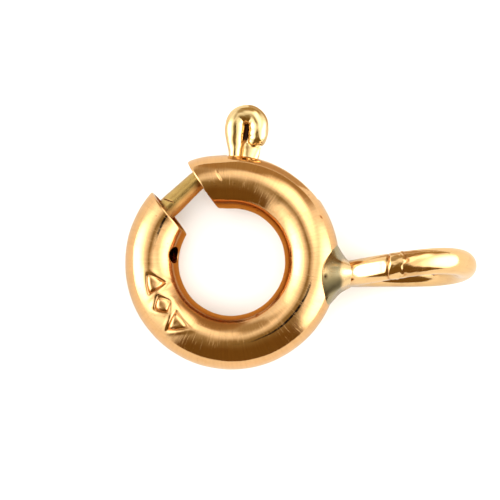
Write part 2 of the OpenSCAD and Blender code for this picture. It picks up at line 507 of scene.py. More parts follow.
def tube_patches():
    """The tube as one closed wall: a profile of (angle round the ring, radius) runs along the
    outer wall, over the rounded rim, back along the inner wall and over the other rim, and is
    carried round the tube. The lever's slot and the vent hole are windows in it."""
    rim_a = math.degrees(RIM_R / ring_r)
    angles = spans(
        (tube_start + rim_a, tube_start + END_SPAN, END_STEP),
        (tube_start + END_SPAN, MARKS_SPAN[0], TUBE_STEP),
        MARKS_SPAN,
        (MARKS_SPAN[1], SCRATCH_SPAN[0], TUBE_STEP),
        SCRATCH_SPAN,
        (SCRATCH_SPAN[1], tube_stop - rim_a, END_STEP))
    psis = spans(*TUBE_PSIS)
    bend = np.linspace(0, 90, RIM_ROWS + 1)[1:]
    rim_in = rim_a * (1 - sin(bend))
    rim_down = RIM_R * (1 - cos(bend))
    profile_a = np.concatenate([
        angles, tube_stop - rim_in, tube_stop - rim_in[::-1], angles[::-1],
        tube_start + rim_in, tube_start + rim_in[::-1], angles[:1]])
    profile_r = np.concatenate([
        np.full(len(angles), tube_r), tube_r - rim_down, bore_r + rim_down[::-1],
        np.full(len(angles), bore_r), bore_r + rim_down, tube_r - rim_down[::-1], [tube_r]])
    a, psi = np.meshgrid(profile_a, psis, indexing="ij")
    r = np.broadcast_to(profile_r[:, None], a.shape)
    keep = np.ones((len(profile_a) - 1, len(psis) - 1), bool)
    inner_first = len(angles) + 2 * len(bend)
    holes = []
    for outline, middle_a, reach_a, middle_psi, reach_psi in (
        (slot_outline, 360 + LEVER_ANGLE - travel / 2, travel / 2 + SLOT_WINDOW[0], 0, SLOT_WINDOW[1]),
        (vent_outline, VENT_ANGLE, VENT_WINDOW[0], 180 - VENT_LEAN, VENT_WINDOW[1]),
    ):
        i0, i1 = np.searchsorted(angles, [middle_a - reach_a, middle_a + reach_a])
        j0, j1 = np.searchsorted(psis, [middle_psi - reach_psi, middle_psi + reach_psi])
        keep[i0:i1, j0:j1] = False
        back0 = inner_first + len(angles) - 1 - i1
        keep[back0:back0 + i1 - i0, j0:j1] = False
        holes.append(hole_patch(angles, psis, (i0, i1, j0, j1), outline))
    return [(*on_tube(a, psi, r), keep), *holes]


# The end ring and its solder

# The end ring's lean at its middle, and how much it grows to a millimetre
LEAN_MIDDLE = 1.1
LEAN_PER_MM = 2.5

# The closing seam, and beyond it a facet up to a ragged line of solder, with small ripples
SEAM_ANGLE = 78.5
SEAM_DEPTH = 0.018
SEAM_WIDTH = 0.9
FACET_LENGTH = 9.0
FACET_HEIGHT = 0.022
SEAM_SWELL = 0.009
RAGGED_LIP = 0.012
RAGGED_GROOVE = 0.010
RAGGED_APART = 2.4
RIPPLE_HEIGHT = 0.0045

# The filed flat before the seam: where it starts, is full, fades and ends, and its half width
FILED_SPAN = (45, 53, 74, 78)
FILED_HALF = 28.0

# The worn front beyond the facet: its span, the middle and width round the wire, and its depth
WORN_SPAN = (92, 112, 150, 172)
WORN_SIDE = -6.0
WORN_WIDTH = 38.0
WORN_DEPTH = 0.034

# Grid lines along the end ring and round its wire: from, to, step
END_RING_ROWS = ((0, 66, 2.0), (66, 118, 0.5), (118, 360, 2.0))
END_WIRE_STEP = 4.5

# The solder's reach on the tube, towards +y, away from it and along z, and round the end ring,
# in degrees along the ring and round its wire; then how far it is sunk into both
SOLDER_UP = 0.80
SOLDER_DOWN = 1.02
SOLDER_HALF_Z = 0.63
SOLDER_CLIMB = 45.0
SOLDER_ROUND = 86.0
SOLDER_SUNK = 0.012

# How strongly the solder keeps to each surface, and more on the side away from +y; its bulge and
# the bulge's direction where it runs straight instead, and where that is; and its lumps
SOLDER_PULL_FOOT = 0.38
SOLDER_PULL_NECK = 0.42
SOLDER_PULL_MORE = 0.16
SOLDER_BULGE = 0.20
SOLDER_BULGE_WAY = (-0.73, 0.68)
SOLDER_FRONT = (0.25, 0.9)
SOLDER_LUMP = 0.006
SOLDER_SMALL_LUMP = 0.004

# A pit in the solder: place round it, share of the way to the end ring, sizes, depth, tarnish
PIT_TURN = 99.0
PIT_SHARE = 0.11
PIT_WIDTH = 3.4
PIT_LENGTH = 0.05
PIT_DEPTH = 0.02
PIT_DARK = 1.8

# Painted shade below the solder's front, a dark reflection painted on: its span round the solder, where it
# fades, and its strength
LOWER_SHADE_SPAN = (82, 112, 125, 144)
LOWER_SHADE_FADE = (0.60, 0.80)
LOWER_PAINTED_SHADE = 0.80

# How much further the grey tone reaches at the solder's sides than on its front and back
GREY_REACH = 0.14

# Grid lines round the solder, in each of its closed ends, and from foot to neck
SOLDER_COLS = 121
SOLDER_CAP_ROWS = 9
SOLDER_ROWS = 41


def on_end_ring(phi, chi, r):
    """Point of the end ring: phi is the angle from its seat up round the ring, chi the angle
    round its wire from the side that faces away from its centre, towards +y, and r is from
    the wire's centre. The ring is slightly oval and slightly twisted: it leans by an angle that
    grows from its seat to its far side, its upper half towards +y and its lower half away."""
    away = end_major_r + r * cos(chi)
    along, z = -away * cos(phi) * END_STRETCH, away * sin(phi)
    across = r * sin(chi) + z * np.tan(np.radians(LEAN_MIDDLE + LEAN_PER_MM * along))
    x = end_dist + end_major_r * (END_STRETCH - 1) + along * cos(END_TURN) - across * sin(END_TURN)
    y = along * sin(END_TURN) + across * cos(END_TURN)
    return stacked(x, y, z)


def end_ring_relief(phi, chi):
    """Height and tarnish on the end ring's wire: a closing seam, a flat filed on one side of it
    and a facet on the other, up to a ragged line of solder, the ripples between them, the worn
    front further along, and the slight waves of bending. The flat is a chord of the wire's
    section, 1 - cos(half width) / cos(chi) of its radius deep."""
    seam = phi - SEAM_ANGLE - 1.2 * sin(2 * chi + 50)
    ragged = phi - SEAM_ANGLE - FACET_LENGTH
    ragged = ragged - 4.0 * sin(chi + 65) - 1.3 * sin(5 * chi + 20) - 0.6 * sin(11 * chi)
    groove = ragged - RAGGED_APART
    facet = smooth(seam, 0.5, 2.5) * (1 - smooth(ragged, -1.5, 1.0))
    off_flat = np.minimum(np.abs(apart(chi, 0)), FILED_HALF)
    flat = END_WIRE_R * (1 - cos(FILED_HALF) / cos(off_flat))
    worn = between(phi, *WORN_SPAN) * bell(apart(chi, WORN_SIDE), WORN_WIDTH)
    ripples = 0.45 * sin(23 * phi + 4 * chi) * sin(5 * chi - 9 * phi)
    ripples = ripples + 0.55 * sin(37 * phi - 6 * chi + 80) * cos(8 * chi + 30)
    height = (
        -SEAM_DEPTH * bell(seam, SEAM_WIDTH)
        - between(phi, *FILED_SPAN) * flat
        - WORN_DEPTH * worn
        + SEAM_SWELL * between(seam, 0, 2, 6, 22)
        + RAGGED_LIP * bell(ragged, 1.1) - RAGGED_GROOVE * bell(groove, 1.2)
        + RIPPLE_HEIGHT * between(seam, 1, 5, 20, 34) * ripples
        + FACET_HEIGHT * facet * sin(2 * chi + 30)
        + 0.0020 * sin(4 * phi + 30) * cos(2 * chi) + 0.0012 * sin(13 * phi + 3 * chi)
    )
    tarnish = 0.8 * bell(seam, 1.1) + 0.35 * between(seam, 12, 18, 24, 40) + 0.5 * bell(groove, 1.5)
    return height, tarnish


def end_ring_patches():
    """A bent wire closed on itself: the grid of phi by chi, finer near the closing seam."""
    phi, chi = np.meshgrid(spans(*END_RING_ROWS), spans((0, 360, END_WIRE_STEP)), indexing="ij")
    height, tarnish = end_ring_relief(phi, chi)
    wrap = stacked(np.radians(phi) * end_major_r, np.radians(chi) * END_WIRE_R, tarnish)
    return [(on_end_ring(phi, chi, END_WIRE_R + height), wrap)]


def solder_foot(turn, share, r):
    """Loop of the solder on the tube, share of its full size, at r from the tube's centre line."""
    reach = np.where(cos(turn) > 0, SOLDER_UP, SOLDER_DOWN)
    y = outer_r * sin(SEAT_ANGLE) + share * reach * cos(turn)
    z = share * SOLDER_HALF_Z * sin(turn)
    out = ring_r + np.sqrt(r**2 - z**2)
    return stacked(np.sqrt(out**2 - y**2), y, z)


def solder_neck(turn, share, r):
    """Loop of the solder on the end ring's wire."""
    return on_end_ring(share * SOLDER_CLIMB * sin(turn), share * SOLDER_ROUND * cos(turn), r)


def solder_patches():
    """Solder that has flowed between tube and end ring: each line from its foot to its neck is a
    cubic. At the sides it leaves both surfaces along them, and towards the front and the back
    it turns into the straight line from foot to neck, with a bulge of t^2 (1 - t). Both ends are
    closed inside the metal that they lie on."""
    turn = np.linspace(0, 360, SOLDER_COLS)[None]
    share = np.linspace(0, 1, SOLDER_CAP_ROWS)[:, None]
    foot = solder_foot(turn, 1.0, tube_r - SOLDER_SUNK)
    foot_in = solder_foot(turn, 0.9, tube_r - SOLDER_SUNK)
    neck = solder_neck(turn, 1.0, END_WIRE_R - SOLDER_SUNK)
    neck_in = solder_neck(turn, 1.1, END_WIRE_R - SOLDER_SUNK)
    leave, arrive = unit(foot_in - foot), unit(neck_in - neck)
    span = np.linalg.norm(neck - foot, axis=-1, keepdims=True)
    t = np.linspace(0, 1, SOLDER_ROWS)[:, None, None]
    lower = SOLDER_PULL_MORE * cos(turn)[..., None]
    front = smooth(np.abs(sin(turn)), *SOLDER_FRONT)[..., None]
    pull_foot = SOLDER_PULL_FOOT - lower + front * (1 + lower - SOLDER_PULL_FOOT)
    pull_neck = SOLDER_PULL_NECK - lower + front * (1 + lower - SOLDER_PULL_NECK)
    chord = (neck - foot) / span
    from_foot = pull_foot * span * (leave + front * (chord - leave))
    to_neck = pull_neck * span * (arrive + front * (chord - arrive))
    bulge_way = stacked(SOLDER_BULGE_WAY[0], 0.0, SOLDER_BULGE_WAY[1] * np.sign(sin(turn)))
    skirt = cubic(t, foot, neck, from_foot, to_neck)
    skirt = skirt + SOLDER_BULGE * front * t**2 * (1 - t) * bulge_way
    t = t[..., 0]
    pit = bell(turn - PIT_TURN, PIT_WIDTH) * bell(t - PIT_SHARE, PIT_LENGTH)
    lumps = SOLDER_LUMP * sin(3 * turn + 40 + 200 * t) + SOLDER_SMALL_LUMP * sin(7 * turn + 500 * t)
    relief = lumps * sin(180 * t) - PIT_DEPTH * pit
    skirt = skirt + relief[..., None] * stacked(1.0, cos(turn), sin(turn))
    base = solder_foot(turn, share, tube_r - 4 * SOLDER_SUNK)
    top = solder_neck(turn, share[::-1], END_WIRE_R - 4 * SOLDER_SUNK)
    grid = np.concatenate([base, skirt, top])
    rows = np.concatenate([0 * share, t, 0 * share + 1]) - GREY_REACH * (1 - np.abs(sin(turn)))
    # Painted shade: a dark reflection painted on the solder below its front
    lower_shade = LOWER_PAINTED_SHADE * between(turn, *LOWER_SHADE_SPAN) * (1 - smooth(t, *LOWER_SHADE_FADE))
    tarnish = np.pad(PIT_DARK * pit + lower_shade, ((len(share), len(share)), (0, 0)))
    return [(grid[:, ::-1], stacked(rows, np.radians(turn[:, ::-1]) * 0.6, tarnish[:, ::-1]))]


# The bolt

# The tongue: its half thickness and gain towards the tip, the angle from which it is straight, how
# sharply its arc and its straight stretch meet, the nick across its front, and the painted reflection of
# the ring on its side towards the ring's centre
TONGUE_HALF = 0.274
TONGUE_GAIN = 0.030
TONGUE_GAINS = (114, 142)
TONGUE_STRAIGHT_FROM = 95.0
TONGUE_BLEND = 120
TONGUE_ROWS = 280
NICK_SLANT = 2.6
NICK_WIDTH = 0.42
NICK_SPAN = (28, 42, 88, 102)
NICK_DEPTH = 0.004
NICK_TARNISH = 3.2
TONGUE_INNER_PAINTED_REFLECTION = 0.7

# The lever's relief: pleats to the folded wire's length, their depth and where they lie, and the
# painted shade where the legs meet, where the neck starts, and in the fold, all over and more at its top
PLEATS = 16
PLEAT_DEPTH = 0.022
PLEAT_SPAN = (0.36, 0.43, 0.61, 0.68)
LEG_PAINTED_SHADE = 1.2
NECK_PAINTED_SHADE = 1.1
FOLD_SHADE_BROWN = 0.85
FOLD_SHADE_BLACK = 1.15

# Stations of the folded wire, from the left leg over the loop to the right leg: place across
# the lever, distance from the ring's centre, half width, half thickness
LEVER_STATIONS = [
    (-0.240, 2.55, 0.168, 0.178),
    (-0.240, 2.75, 0.168, 0.178),
    (-0.241, 2.92, 0.171, 0.180),
    (-0.247, 3.06, 0.181, 0.188),
    (-0.263, 3.20, 0.205, 0.204),
    (-0.286, 3.38, 0.248, 0.232),
    (-0.308, 3.58, 0.284, 0.262),
    (-0.317, 3.76, 0.295, 0.280),
    (-0.295, 3.93, 0.297, 0.286),
    (-0.205, 4.06, 0.300, 0.284),
    (-0.075, 4.12, 0.302, 0.282),
    (0.075, 4.12, 0.302, 0.282),
    (0.205, 4.055, 0.300, 0.284),
    (0.300, 3.93, 0.292, 0.288),
    (0.333, 3.78, 0.286, 0.290),
    (0.332, 3.64, 0.283, 0.284),
    (0.320, 3.53, 0.270, 0.270),
    (0.293, 3.44, 0.248, 0.242),
    (0.268, 3.37, 0.207, 0.200),
    (0.265, 3.31, 0.145, 0.155),
    (0.275, 3.265, 0.085, 0.115),
]

# Stations of the flat neck, which comes out from under the right leg
NECK_STATIONS = [
    (0.025, 3.53, 0.032, 0.030),
    (0.125, 3.45, 0.155, 0.045),
    (0.205, 3.36, 0.262, 0.068),
    (0.192, 3.26, 0.256, 0.094),
    (0.190, 3.12, 0.254, 0.135),
    (0.172, 2.92, 0.240, 0.174),
    (0.165, 2.75, 0.236, 0.176),
    (0.165, 2.55, 0.236, 0.176),
]

# The pressed fold between the legs
FOLD_STATIONS = [
    (-0.072, 2.80, 0.040, 0.050),
    (-0.060, 3.20, 0.050, 0.060),
    (0.005, 3.45, 0.070, 0.060),
    (0.012, 3.90, 0.060, 0.060),
]


def through(stations, steps):
    """A smooth curve through stations, each stretch a cubic whose slope at a station is half the
    way between its neighbours, with that many points to a stretch."""
    p = np.asarray(stations, float)
    slope = np.gradient(p, axis=0)
    t = np.linspace(0, 1, steps, endpoint=False)[None, :, None]
    curve = cubic(t, p[:-1, None], p[1:, None], slope[:-1, None], slope[1:, None])
    return np.concatenate([curve.reshape(-1, p.shape[1]), p[-1:]])


def on_lever(across, out):
    """Flat place of a point across the lever and out from the ring's centre."""
    return np.stack([
        out * cos(LEVER_ANGLE) + across * sin(LEVER_ANGLE),
        out * sin(LEVER_ANGLE) - across * cos(LEVER_ANGLE)], -1)


def lever_relief(row, side):
    """Folding has creased the inner side of the loop: a few grooves across the wire, strongest
    at the top, with painted shade in the creases and where the legs meet. The legs are slightly hammered."""
    pressed = smooth(cos(side), 0.25, 0.95) * between(row, *PLEAT_SPAN)
    uneven = 0.7 + 0.3 * sin(360 * 7 * row + 30)
    creases = 0.5 + 0.5 * sin(360 * PLEATS * row + 60 * sin(2 * side)) * uneven
    waves = 0.006 * sin(360 * 5 * row) * cos(side + 90) + 0.003 * sin(360 * 9 * row + 3 * side)
    tarnish = pressed * (0.10 + 0.65 * creases) + LEG_PAINTED_SHADE * smooth(cos(side), 0.95, 1.0)
    return waves - PLEAT_DEPTH * pressed * creases, tarnish


def neck_relief(row, side):
    """The neck's flats: slight hammered waves, with painted shade where it tucks under the right leg."""
    height = 0.004 * sin(360 * 2 * row + 2 * side) + 0.002 * sin(360 * 5 * row - side)
    return height, NECK_PAINTED_SHADE * (1 - smooth(row, 0.02, 0.12)) + 0 * side


def fold_relief(row, side):
    """The fold between the legs is smooth, with painted shade: black at its top and brown towards the tube.
    """
    return 0.0, FOLD_SHADE_BROWN + FOLD_SHADE_BLACK * smooth(row, 0.52, 0.70) + 0 * side


def lever_patches():
    """The folded wire, swept through its stations, the flattened neck that it runs on into, and
    the fold pressed shut between the legs."""
    patches = []
    for stations, steps, cap, relief in (
        (LEVER_STATIONS, 14, 0.5, lever_relief),
        (NECK_STATIONS, 10, 0.2, neck_relief),
        (FOLD_STATIONS, 8, 0.3, fold_relief),
    ):
        run = through(stations, steps)
        path = on_lever(run[:, 0], run[:, 1])
        patches.append(swept(path, run[:, 2], run[:, 3], cap, sides=56, relief=relief))
    return patches


def tongue_patches():
    """The tongue: a round bar, straight where it crosses the gap, at r = d / cos(a - a0), and
    bent to an arc of the bore's outer side before that. A power mean joins the two.
    The tail is a short thinner wire that guides the spring."""
    tongue_end = TONGUE_TIP - TONGUE_DOME
    a = np.linspace(SHOULDER, tongue_end, TONGUE_ROWS)
    line = TONGUE_LINE_R / cos(np.maximum(a, TONGUE_STRAIGHT_FROM) - TONGUE_LINE_ANGLE)
    r = (line**-TONGUE_BLEND + TONGUE_MOST_R**-TONGUE_BLEND) ** (-1 / TONGUE_BLEND)
    half = TONGUE_HALF + TONGUE_GAIN * smooth(a, *TONGUE_GAINS)
    half = half + 0.0015 * sin(11 * a) + 0.001 * sin(29 * a + 70)

    def nick(row, side):
        """A short dark nick that runs slantwise over the front of the bar. The bar's side towards
        the ring's centre carries a painted orange reflection of the ring."""
        off = SHOULDER + (tongue_end - SHOULDER) * row - TONGUE_NICK - NICK_SLANT * (1 - side / 45)
        cut = bell(off, NICK_WIDTH) * between(side, *NICK_SPAN)
        inner = smooth(-cos(side), 0.15, 0.55)
        return -NICK_DEPTH * cut, NICK_TARNISH * cut + TONGUE_INNER_PAINTED_REFLECTION * inner

    tail = ring_path(ring_r, np.linspace(TAIL_END + TAIL_DOME, LEVER_ANGLE, 60))
    return (
        [swept(ring_path(r, a), half, half, cap=0.75, sides=64, relief=nick)],
        [swept(tail, TAIL_D / 2, TAIL_D / 2, cap=0.6)])


def spring_patches():
    """The spring: a round wire wound about the tube's centre line. A point of its wire lies at
    coil radius + wire radius cos(side) from that line, at the turn's own angle round it."""
    steps = int(SPRING_TURNS * SPRING_STEPS) + 1
    along = np.linspace(0, 1, steps)[:, None]
    side = np.linspace(0, 360, SPRING_SIDES + 1)[None]
    wire = SPRING_WIRE_R * np.concatenate([[0, 0.7], np.ones(steps - 4), [0.7, 0]])[:, None]
    turn = 360 * SPRING_TURNS * along
    reach = COIL_R + wire * cos(side)
    r = ring_r + reach * cos(turn)
    a = SPRING_START - SPRING_ARC * along + np.degrees(wire * sin(side) / ring_r)
    wrap = stacked(along * SPRING_TURNS * 2 * math.pi * COIL_R, np.radians(side) * SPRING_WIRE_R, 0.0)
    return [(stacked(r * cos(a), r * sin(a), reach * sin(turn))[:, ::-1], wrap[:, ::-1])]


# Materials

# Features to a millimetre of the patterns in the metals
DRIFT_SCALE = 0.9
CLOUD_SCALE = 2.2
WANDER_SCALE = 4.0
SOFT_SCALE = 5.0
SPECK_SCALE = 11.0
FINE_SCALE = 34.0

# Shades of a metal's own tone, and the colour of the blackest tarnish and painted shade
STREAK_SHADE = 0.80
SPECK_SHADE = 0.45
TARNISH_AND_SHADE_SHARES = (0.52, 0.30, 0.14)
BLACKENED = (0.030, 0.013, 0.008)
BUMP_HEIGHT_MM = 0.0010


def feed(tree, socket, value):
    """Links another node's socket to this one, or sets this one's value."""
    if isinstance(value, bpy.types.NodeSocket):
        tree.links.new(value, socket)
    else:
        socket.default_value = (*value, 1.0) if socket.type == "RGBA" else value


def node(tree, kind, **inputs):
    """Adds a shader node. Inputs are values or sockets, named as on the node with _ for spaces,
    and a lower-case name sets a property of the node instead."""
    made = tree.nodes.new("ShaderNode" + kind)
    for key, value in inputs.items():
        if key[0].islower():
            setattr(made, key, value)
            continue
        numbered = key.startswith("In") and key[2:].isdigit()
        feed(tree, made.inputs[int(key[2:]) if numbered else key.replace("_", " ")], value)
    return made


def per_mm(value):
    """A noise scale of that many features to a millimetre."""
    return value / MM


def noise(tree, where, features, detail=2.0, rough=0.5, distortion=0.0):
    """A noise pattern, from 0 to 1."""
    return node(
        tree, "TexNoise", Vector=where, Scale=features, Detail=detail, Roughness=rough,
        Distortion=distortion).outputs["Fac"]


def times_plus(tree, value, factor, more):
    """value times factor, plus more."""
    return node(tree, "Math", operation="MULTIPLY_ADD", In0=value, In1=factor, In2=more).outputs[0]


def ranged(tree, value, low, high, to_low=0.0, to_high=1.0):
    """value from low..high to to_low..to_high, with smooth ends."""
    return node(
        tree, "MapRange", interpolation_type="SMOOTHSTEP",
        Value=value, From_Min=low, From_Max=high, To_Min=to_low, To_Max=to_high).outputs["Result"]


def parted(tree, vector):
    """The three parts of a vector, by the names X, Y and Z."""
    return node(tree, "SeparateXYZ", Vector=vector).outputs


def mixed(tree, share, one, other):
    """Colour one where share is 0, the other where it is 1."""
    mix = tree.nodes.new("ShaderNodeMix")
    mix.data_type = "RGBA"
    for k, value in ((0, share), (6, one), (7, other)):
        feed(tree, mix.inputs[k], value)
    return mix.outputs[2]


def metal(name, tone, second_tone, stain, roughness, lines=(0.7, 26.0), grain=0.35, stain_share=0.5,
          far_tone=None, far_from=0.0, far_to=1.0, dull_tone=None):
    """A polished and lightly worn metal. Its colour drifts between two tones, stains gather in
    faint clouds and small specks, hairlines run one way across it, and where the tarnish
    map rises, real discolouring on some pieces and painted shade and reflection on others, the metal
    turns orange-brown, or its own dull_tone, and then nearly black, and less smooth. A far tone takes
    over between two places along the wrap map."""
    material = bpy.data.materials.new(name)
    material.use_nodes = True
    tree = material.node_tree
    shader = tree.nodes["Principled BSDF"]
    where = node(tree, "TexCoord").outputs["Object"]
    wrap = node(tree, "UVMap", uv_map="wrap").outputs["UV"]
    tarnish = parted(tree, node(tree, "UVMap", uv_map="tarnish").outputs["UV"])["X"]
    drift = ranged(tree, noise(tree, where, per_mm(DRIFT_SCALE), 3.0), 0.35, 0.65)
    cloud = noise(tree, where, per_mm(CLOUD_SCALE), 4.0, 0.6, 0.6)
    cloud = ranged(tree, cloud, 0.50, 0.78, 0.0, stain_share)
    speck = ranged(tree, noise(tree, where, per_mm(SPECK_SCALE), 2.0), 0.70, 0.78, 0.0, 0.5)
    run = node(tree, "Mapping", Vector=wrap, Scale=(*lines, 1.0), Rotation=(0, 0, 0.05)).outputs["Vector"]
    brushed = noise(tree, run, 1.0, 3.0, 0.6)
    hair = ranged(tree, noise(tree, run, 2.3, 2.0, 0.6), 0.60, 0.72, 0.0, 1.0)
    streak = ranged(tree, brushed, 0.35, 0.70, 0.0, 0.45)
    colour = mixed(tree, drift, tone, second_tone)
    colour = mixed(tree, cloud, colour, stain)
    colour = mixed(tree, streak, colour, tuple(STREAK_SHADE * c for c in tone))
    colour = mixed(tree, speck, colour, tuple(SPECK_SHADE * c for c in stain))
    if far_tone:
        wander = noise(tree, where, per_mm(WANDER_SCALE), 2.0)
        along = times_plus(tree, wander, 0.12, parted(tree, wrap)["X"])
        colour = mixed(tree, ranged(tree, along, far_from, far_to), colour, far_tone)
    brown = ranged(tree, tarnish, 0.0, 1.0)
    black = ranged(tree, tarnish, 1.0, 2.0)
    dull_tone = dull_tone or tuple(shade * c for shade, c in zip(TARNISH_AND_SHADE_SHARES, tone))
    colour = mixed(tree, brown, colour, dull_tone)
    colour = mixed(tree, black, colour, BLACKENED)
    fine = noise(tree, where, per_mm(FINE_SCALE), 3.0, 0.65)
    soft = noise(tree, where, per_mm(SOFT_SCALE), 2.0)
    gloss = times_plus(tree, fine, 0.05, roughness - 0.025)
    for share, rougher in ((cloud, 0.06), (hair, 0.04), (brown, 0.16)):
        gloss = times_plus(tree, share, rougher, gloss)
    height = hair
    for pattern, high in ((fine, grain), (brushed, 1.2), (soft, 1.4)):
        height = times_plus(tree, pattern, high, height)
    bump = node(tree, "Bump", Strength=0.5, Distance=BUMP_HEIGHT_MM * MM, Height=height).outputs["Normal"]
    shader.inputs["Metallic"].default_value = 1.0
    tree.links.new(colour, shader.inputs["Base Color"])
    tree.links.new(gloss, shader.inputs["Roughness"])
    tree.links.new(bump, shader.inputs["Normal"])
    return material


ROSE_GOLD = metal(
    "rosy gold", (0.79, 0.465, 0.215), (0.76, 0.46, 0.21), (0.66, 0.33, 0.115), 0.085,
    lines=(22.0, 0.6))
RING_GOLD = metal(
    "end ring gold", (0.86, 0.57, 0.28), (0.83, 0.54, 0.25), (0.68, 0.38, 0.14), 0.11)
LEVER_GOLD = metal(
    "pale gold", (0.83, 0.61, 0.31), (0.80, 0.56, 0.26), (0.62, 0.38, 0.14), 0.14)
# The olive gold's dull_tone is the orange of the painted reflection of the ring on the tongue's inner side
BOLT_GOLD = metal(
    "olive gold", (0.58, 0.39, 0.135), (0.52, 0.34, 0.11), (0.40, 0.23, 0.06), 0.25,
    lines=(5.0, 14.0), dull_tone=(0.62, 0.31, 0.10))
# The grey solder's dull_tone darkens its pit and the painted shade below its front
SOLDER = metal(
    "grey solder", (0.40, 0.34, 0.20), (0.35, 0.30, 0.17), (0.25, 0.22, 0.13), 0.25,
    lines=(7.0, 5.0), grain=1.0, stain_share=0.8,
    far_tone=(0.86, 0.62, 0.33), far_from=0.62, far_to=0.74, dull_tone=(0.13, 0.112, 0.058))
SPRING_STEEL = metal(
    "spring steel", (0.58, 0.56, 0.52), (0.50, 0.48, 0.45), (0.30, 0.24, 0.18), 0.24,
    lines=(0.7, 18.0))


# The pieces

build("ring_tube", tube_patches(), ROSE_GOLD, "ring", ["ring_body"])
build("end_ring", end_ring_patches(), RING_GOLD, "ring", ["ring_body"])
build("solder", solder_patches(), SOLDER, "ring", ["ring_body"])
tongue, tail = tongue_patches()
build("tongue", tongue, BOLT_GOLD, "bolt", ["bolt"])
build("tail", tail, BOLT_GOLD, "bolt", ["bolt"])
build("thumb_lever", lever_patches(), LEVER_GOLD, "bolt", ["bolt"])
stop_path = ring_path(ring_r, np.linspace(STOP_END + STOP_DOME, STOP_START - STOP_DOME, 24))
stop_bar = swept(stop_path, STOP_R, STOP_R, cap=0.08)
build("stop_plug", [stop_bar], BOLT_GOLD, "ring", ["spring_stop"])
coil = build("coil_spring", spring_patches(), SPRING_STEEL, None, ["spring"])
spring_ends = [placed(np.array([ring_r * cos(a), ring_r * sin(a), 0.0]))
               for a in (SPRING_START - SPRING_ARC, SPRING_START)]
tuple(spring_ends[0])
tuple(spring_ends[1])
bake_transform(coil)


# The camera, from the view angle and the framing of the photograph

# Turns of the view in degrees, the camera's place from the ring's centre along the camera's own
# axes, and the picture's scale and size
VIEW_RIGHT = 7.0
VIEW_BELOW = 4.0
VIEW_ROLL = 2.4
VIEW_PLACE_MM = (0.51, 0.336, 90.0)
PIXELS_PER_MM = 35.88
IMAGE_SIZE = 500
SENSOR_MM = 36.0
CLIP_START = 0.001

view_turn = (
    Matrix.Rotation(math.radians(VIEW_ROLL), 3, "Z")
    @ Matrix.Rotation(math.radians(VIEW_BELOW), 3, "X")
    @ Matrix.Rotation(math.radians(VIEW_RIGHT), 3, "Y")
)
view_axes = FLAT_AXES.T @ np.array(view_turn)
camera = added("camera", bpy.data.cameras.new("camera"))
bpy.context.scene.camera = camera
camera_place = RING_CENTRE + MM * view_axes @ np.array(VIEW_PLACE_MM)
camera.matrix_world = Matrix.Translation(camera_place) @ Matrix(view_axes.tolist()).to_4x4()
camera.data.sensor_width = SENSOR_MM
camera.data.lens = PIXELS_PER_MM * VIEW_PLACE_MM[2] / IMAGE_SIZE * SENSOR_MM
camera.data.clip_start = CLIP_START


# The floor and the light

# A square's corners, half the table's side in metres, features to a millimetre of its grain and of
# the cards' drift, and how rough a matt surface is
SQUARE = ((-1, -1), (1, -1), (1, 1), (-1, 1))
FLOOR_HALF = 0.4
TABLE_SCALE = 0.3
CARD_SCALE = 0.5
MATT = 0.9


def coloured(name, features, one, other):
    """A matt material that drifts between two colours, with so many features to a millimetre."""
    material = bpy.data.materials.new(name)
    material.use_nodes = True
    tree = material.node_tree
    shader = tree.nodes["Principled BSDF"]
    drift = noise(tree, node(tree, "TexCoord").outputs["Object"], per_mm(features), 3.0)
    tree.links.new(mixed(tree, drift, one, other), shader.inputs["Base Color"])
    shader.inputs["Roughness"].default_value = MATT
    return material


def sheet(name, corners, material, unseen):
    """A flat sheet for the stage, unseen by those kinds of ray."""
    mesh = bpy.data.meshes.new(name)
    mesh.from_pydata(corners, [], [tuple(range(len(corners)))])
    mesh.materials.append(material)
    made = added(name, mesh)
    for kind in unseen:
        setattr(made, "visible_" + kind, False)


def floor():
    """A plain pale table top, with a faint grain."""
    material = coloured("pale table", TABLE_SCALE, (0.90, 0.90, 0.90), (0.92, 0.92, 0.92))
    shader = material.node_tree.nodes["Principled BSDF"]
    shader.inputs["Specular IOR Level"].default_value = 0.1
    sheet("table", [(x * FLOOR_HALF, y * FLOOR_HALF, 0) for x, y in SQUARE], material, ["glossy"])


# What surrounds the clasp, on a chart round the camera's direction: place on the chart and half
# sizes in degrees, turn, softness of the edge, and light
PANELS = [
    ((24, 92), (60, 50), 0, 0.16, (0.48, 0.33, 0.15)),
    ((-66, 5), (40, 36), 0, 0.60, (1.95, 1.9, 1.75)),
    ((-70, 5), (24, 22), 0, 0.70, (5.4, 5.4, 5.2)),
    ((70, -10), (50, 52), 0, 0.50, (1.7, 1.62, 1.45)),
    ((74, -12), (36, 38), 0, 0.50, (4.2, 4.2, 4.0)),
    ((-29, 50), (14, 23), 12, 0.45, (0.50, 0.40, 0.24)),
    ((-2, 37), (16, 10), 0, 0.60, (1.5, 1.45, 1.3)),
    ((19, 35), (15, 23), -28, 0.70, (3.0, 2.9, 2.6)),
    ((-12, 9), (14, 11), 0, 0.80, (0.80, 0.73, 0.57)),
]

# A small dark panel close to the camera's direction, laid over the others
DARK_PANEL = ((-0.8, -3.4), (10.0, 4.2), 23, 0.15, (0.006, 0.003, 0.003))

# The dark front, a wedge from just above the camera downwards: its two tones, the middle's place
# and lean, its half width, how that grows downwards, the soft edge, and the angle where it ends
FRONT_DARK = (0.205, 0.115, 0.026)
FRONT_LIGHTER = (0.33, 0.25, 0.11)
FRONT_MIDDLE = -9.75
FRONT_LEAN = -0.16
FRONT_HALF = 10.5
FRONT_SPREAD = 0.78
FRONT_EDGE = (-6.0, 5.0)
FRONT_END = 92.0
FRONT_END_EDGE = 4.0
FRONT_DARKENS = (5.0, -38.0)

